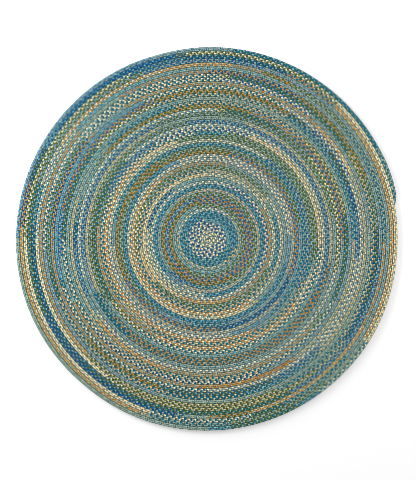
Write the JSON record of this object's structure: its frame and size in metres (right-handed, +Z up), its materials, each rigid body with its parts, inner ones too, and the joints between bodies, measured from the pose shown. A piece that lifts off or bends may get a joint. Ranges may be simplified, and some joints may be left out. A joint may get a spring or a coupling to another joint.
{
  "type": "round braided rug",
  "caption": "Round braided rug lying flat, one three-strand braid coiled outwards from the middle and laced row to row, with the braid's thin tucked end at the rim.",
  "frame": {"origin": "on the floor, under the middle of the rug's box", "axes": "+Z up from the floor through the rug's thickness, +X and +Y in its plane, with the braid's end at the rim near +X, a little towards +Y"},
  "size_m": [1.6644, 1.6716, 0.011],
  "materials": {
    "braided_yarn": "matte soft yarn in many colours, braided"
  },
  "bodies": {
    "root": {"braided_rug": "braided_yarn"}
  },
  "joints": []
}
